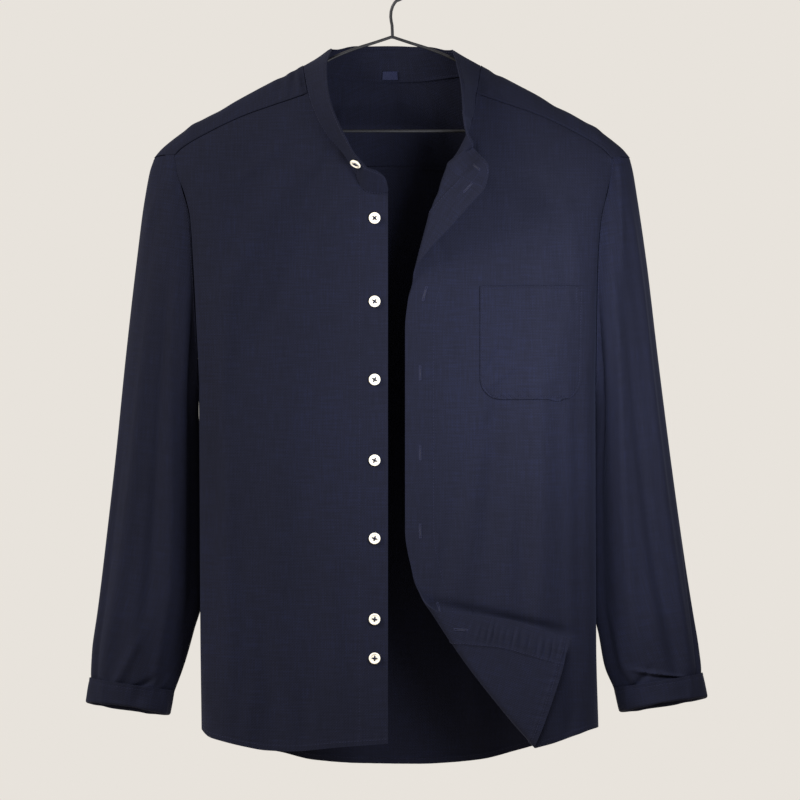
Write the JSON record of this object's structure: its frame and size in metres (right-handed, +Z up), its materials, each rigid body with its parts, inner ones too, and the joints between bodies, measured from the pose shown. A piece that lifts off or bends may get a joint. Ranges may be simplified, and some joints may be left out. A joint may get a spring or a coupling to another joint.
{
  "type": "mandarin collar shirt on a wire hanger",
  "caption": "Long-sleeved band-collar shirt hanging open on a wire hanger, with a chest pocket, turned-up cuffs and one front turned out at neck and hem.",
  "frame": {"origin": "inner top of the hanger's hook, where it hangs on a rod", "axes": "+Z up, -Y out of the shirt's front, +X towards the wearer's left"},
  "size_m": [0.6553, 0.1464, 0.8466],
  "materials": {
    "cloth": "plain-woven slubbed cotton and linen, navy, soft sheen",
    "button": "polished, ivory",
    "label": "close-woven satin, blank",
    "wire": "black lacquer, semi-gloss"
  },
  "bodies": {
    "root": {"right_front": "cloth", "left_front": "cloth", "back": "cloth", "yoke": "cloth", "right_sleeve": "cloth", "left_sleeve": "cloth", "right_cuff": "cloth", "left_cuff": "cloth", "collar_band": "cloth", "chest_pocket": "cloth", "button_1": "button", "button_2": "button", "button_3": "button", "button_4": "button", "button_5": "button", "button_6": "button", "button_7": "button", "collar_button": "button", "neck_label": "label", "hanger": "wire"}
  },
  "joints": []
}
